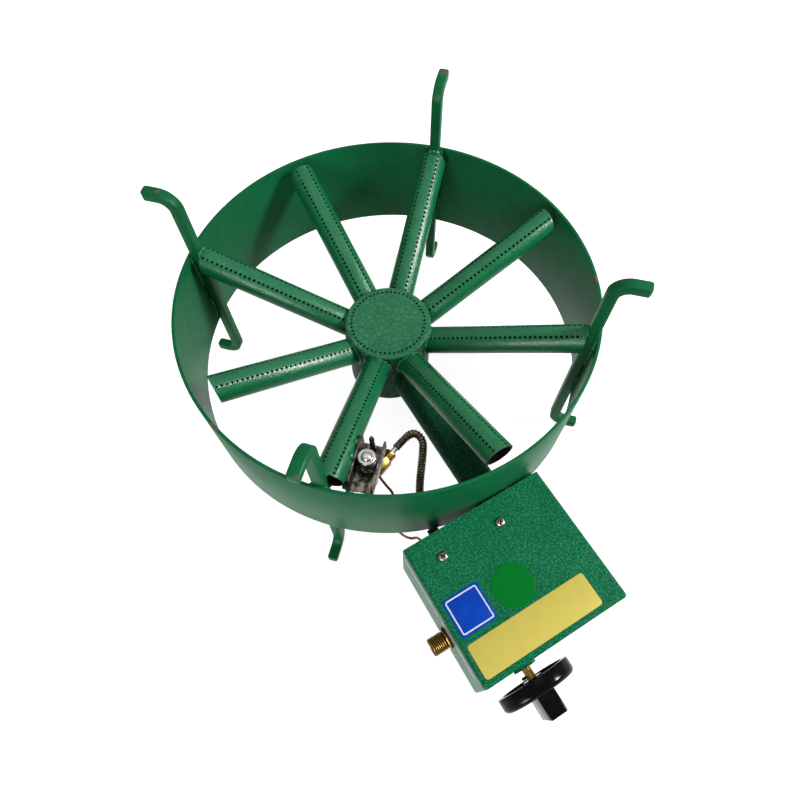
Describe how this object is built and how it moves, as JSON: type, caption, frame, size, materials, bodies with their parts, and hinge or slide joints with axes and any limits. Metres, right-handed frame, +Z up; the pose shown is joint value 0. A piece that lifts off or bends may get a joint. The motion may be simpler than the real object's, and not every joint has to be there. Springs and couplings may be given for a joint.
{
  "type": "gas burner",
  "caption": "Free-standing gas ring burner: drilled tubes round a hub inside a wind ring on bar legs, with a pilot flame and a side control box with a knob.",
  "frame": {"origin": "middle of the footprint's bounding box, on the floor", "axes": "+Z up, the control box and knob toward -Y, the gas inlet toward -X"},
  "size_m": [0.4, 0.575, 0.2572],
  "materials": {
    "green_hammered_paint": "gloss, hammered",
    "green_smooth_paint": "satin",
    "bare_steel": "dull",
    "zinc_steel": "satin",
    "brass": "satin",
    "chrome": "polished",
    "aluminium": "satin",
    "ribbed_steel": "satin",
    "copper": "satin",
    "black_rubber": "matt",
    "black_plastic": "gloss",
    "black_steel": "satin"
  },
  "bodies": {
    "burner": {"box_base": "green_hammered_paint", "box_cover": "green_hammered_paint", "cover_screws": "zinc_steel", "feed_fitting": "brass", "feed_nut": "brass", "feed_stub": "aluminium", "hose_sleeve": "black_rubber", "hose_tail": "aluminium", "hub_base": "green_hammered_paint", "hub_cap": "green_hammered_paint", "hub_drum": "green_hammered_paint", "injector": "brass", "inlet_nipple": "brass", "lead_grommet": "black_rubber", "leg_1": "green_smooth_paint", "leg_2": "green_smooth_paint", "leg_3": "green_smooth_paint", "leg_4": "green_smooth_paint", "long_tube_1": "green_hammered_paint", "long_tube_2": "green_hammered_paint", "long_tube_3": "green_hammered_paint", "long_tube_4": "green_hammered_paint", "magnet_unit": "brass", "mixing_pipe": "green_hammered_paint", "outlet_pipe": "aluminium", "panel_nut": "zinc_steel", "pilot_body": "brass", "pilot_bolt": "zinc_steel", "pilot_bolt_nut": "zinc_steel", "pilot_bracket": "zinc_steel", "pilot_hood": "chrome", "pilot_hose": "ribbed_steel", "pilot_locknut": "brass", "pilot_strap": "zinc_steel", "probe_nut": "zinc_steel", "ring_bracket": "green_hammered_paint", "short_tube_1": "green_hammered_paint", "short_tube_2": "green_hammered_paint", "short_tube_3": "green_hammered_paint", "short_tube_4": "green_hammered_paint", "thermocouple_lead": "copper", "thermocouple_nut": "brass", "thermocouple_probe": "chrome", "tube_plugs": "bare_steel", "union_nut": "brass", "valve_body": "brass", "wind_ring": "green_smooth_paint"},
    "plug": {"valve_plug": "brass", "return_spring": "zinc_steel"},
    "knob": {"knob": "black_plastic", "valve_spindle": "brass", "spindle_pin": "black_steel"}
  },
  "joints": [
    {"name": "knob_turn", "type": "hinge", "parent": "burner", "child": "plug", "pos_m": [-0.058, -0.242, 0.074], "axis": [0, -1, 0], "range_deg": [0, 180]},
    {"name": "knob_push", "type": "slide", "parent": "plug", "child": "knob", "axis": [0, 1, 0], "range_m": [0, 0.004], "stiffness_N_per_m": 1500, "springref_m": -0.002, "deforming": ["return_spring"]}
  ]
}
